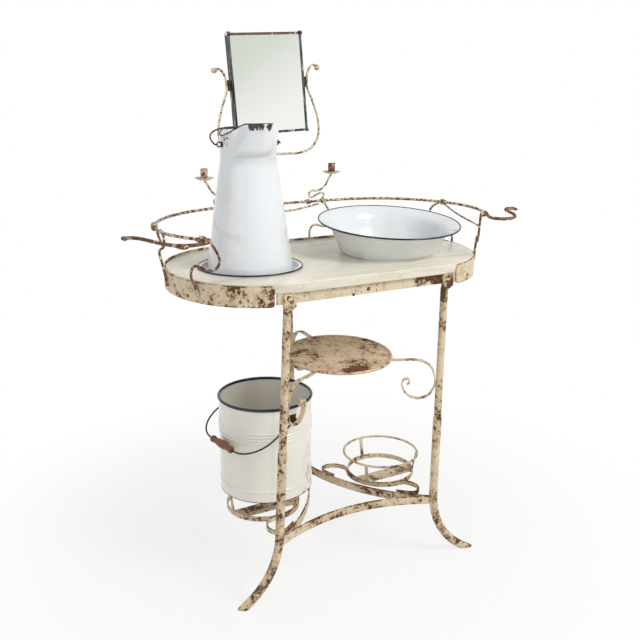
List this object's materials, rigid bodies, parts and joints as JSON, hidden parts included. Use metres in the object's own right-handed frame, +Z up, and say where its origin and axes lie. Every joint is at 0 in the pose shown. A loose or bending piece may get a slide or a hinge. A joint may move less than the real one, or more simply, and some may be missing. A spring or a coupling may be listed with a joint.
{
  "type": "wash basin stand",
  "caption": "Three-legged iron washstand with a marble top, gallery rail, tilting mirror, candle cups, shelf, ring holders, and an enamel jug, dish, basin and pail.",
  "frame": {"origin": "on the floor, under the middle of the stand's whole extent", "axes": "+Z up, +X to the right seen from the front, -Y to the front, where the two front legs stand"},
  "size_m": [1.0059, 0.5465, 1.3128],
  "materials": {
    "cream_paint": "aged cream paint, chipped to rust",
    "rusty_iron": "rusted, with traces of paint",
    "marble": "polished, softly veined",
    "enamel": "glossy white enamel with a dark blue rim",
    "wire": "dull dark steel",
    "mirror_glass": "silvered",
    "tin_frame": "dull tin with rust at the top",
    "back_board": "bare board",
    "wood_grip": "turned, worn"
  },
  "bodies": {
    "stand": {"marble_top": "marble", "hoop": "cream_paint", "hoop_rivets": "rusty_iron", "front_rail": "cream_paint", "cross_bars": "rusty_iron", "back_strap": "rusty_iron", "left_leg_tube": "cream_paint", "right_leg_tube": "cream_paint", "back_leg_tube": "cream_paint", "left_foot": "cream_paint", "right_foot": "cream_paint", "back_foot": "cream_paint", "leg_bolts": "rusty_iron", "front_stretcher": "cream_paint", "left_stretcher": "cream_paint", "right_stretcher": "cream_paint", "stretcher_rivets": "rusty_iron", "shelf": "cream_paint", "left_shelf_scroll": "cream_paint", "right_shelf_scroll": "cream_paint", "back_shelf_scroll": "cream_paint", "pail_holder_rings": "cream_paint", "pail_holder_bow": "cream_paint", "side_holder_rings": "cream_paint", "side_holder_bow": "cream_paint", "gallery_rail": "cream_paint", "left_towel_arm": "rusty_iron", "right_towel_arm": "rusty_iron", "front_scrolls": "rusty_iron", "end_scrolls": "rusty_iron", "back_scrolls": "rusty_iron", "swags": "cream_paint", "left_candle_arm": "rusty_iron", "right_candle_arm": "rusty_iron", "drip_pans": "cream_paint", "candle_cups": "rusty_iron", "mirror_bracket": "cream_paint", "pivot_blocks": "rusty_iron"},
    "mirror": {"mirror_frame": "tin_frame", "mirror_glass": "mirror_glass", "mirror_back": "back_board", "mirror_pins": "rusty_iron"},
    "dish": {"jug_dish": "enamel"},
    "jug": {"jug": "enamel", "jug_ears": "rusty_iron"},
    "jug_bail": {"jug_bail": "wire"},
    "basin": {"basin": "enamel"},
    "pail": {"pail": "enamel", "pail_ears": "rusty_iron"},
    "pail_bail": {"pail_bail": "wire"},
    "pail_grip": {"pail_grip": "wood_grip"}
  },
  "joints": [
    {"name": "mirror_tilt", "type": "hinge", "parent": "stand", "child": "mirror", "pos_m": [-0.02395, 0.21291, 1.18463], "axis": [0.9988, 0, 0.0489], "continuous": true},
    {"name": "dish_lift", "type": "slide", "parent": "stand", "child": "dish", "axis": [0, 0, 1], "range_m": [0, 0.08]},
    {"name": "jug_lift", "type": "slide", "parent": "dish", "child": "jug", "axis": [0, 0, 1], "range_m": [0, 0.2]},
    {"name": "jug_bail_swing", "type": "hinge", "parent": "jug", "child": "jug_bail", "pos_m": [-0.197, -0.04609, 1.05565], "axis": [1, 0, 0], "range_deg": [0, 115]},
    {"name": "basin_lift", "type": "slide", "parent": "stand", "child": "basin", "axis": [0, 0, 1], "range_m": [0, 0.2]},
    {"name": "pail_lift", "type": "slide", "parent": "stand", "child": "pail", "axis": [0, 0, 1], "range_m": [0, 0.065]},
    {"name": "pail_bail_swing", "type": "hinge", "parent": "pail", "child": "pail_bail", "pos_m": [-0.16899, -0.05572, 0.43405], "axis": [-0.1564, 0.9877, 0], "range_deg": [0, 132]},
    {"name": "grip_spin", "type": "hinge", "parent": "pail_bail", "child": "pail_grip", "pos_m": [-0.29166, -0.07515, 0.36521], "axis": [-0.1564, 0.9877, 0], "continuous": true}
  ]
}
